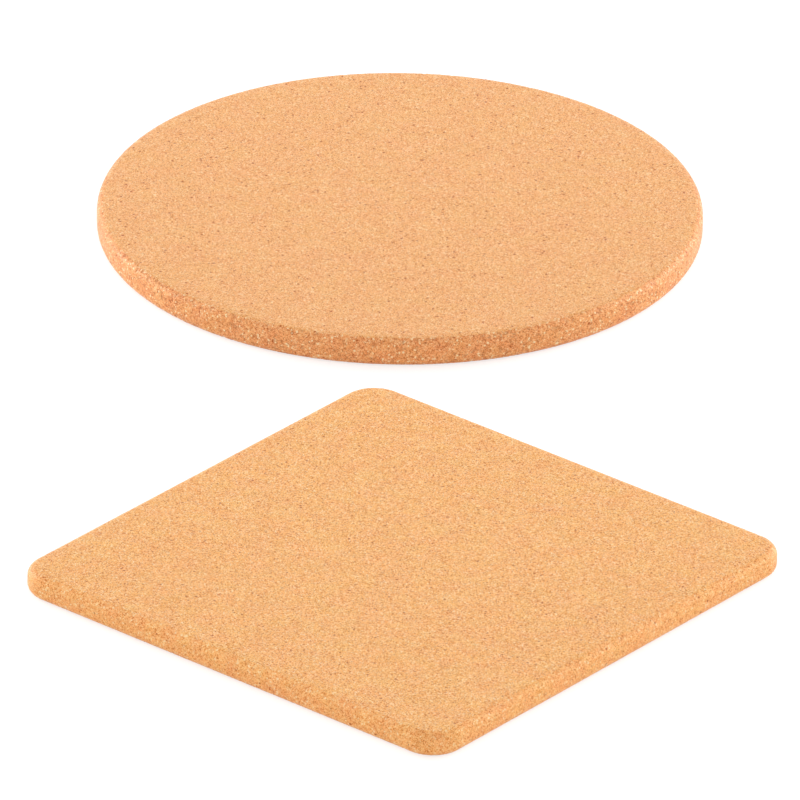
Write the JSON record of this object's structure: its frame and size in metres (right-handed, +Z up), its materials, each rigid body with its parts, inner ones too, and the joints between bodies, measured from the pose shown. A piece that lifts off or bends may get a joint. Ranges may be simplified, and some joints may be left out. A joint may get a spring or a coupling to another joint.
{
  "type": "trivet",
  "caption": "Cork trivet set: a round slab and a square slab with rounded corners, both with softly rounded edges, to rest hot cookware on.",
  "frame": {"origin": "centre of the pair's bounding box, at the table surface that both trivets rest on", "axes": "+Z up, +Y from the square trivet towards the round one behind it, +X to the right as the picture shows them"},
  "size_m": [0.237, 0.4656, 0.01],
  "materials": {
    "cork": "fine-grained agglomerated cork, sanded faces and cut, rounded rims, unsealed and matt"
  },
  "bodies": {
    "round_trivet": {"round_trivet": "cork"},
    "square_trivet": {"square_trivet": "cork"}
  },
  "joints": [
    {"name": "square_lift", "type": "slide", "parent": "round_trivet", "child": "square_trivet", "axis": [0, 0, 1], "range_m": [0, 0.08]}
  ]
}
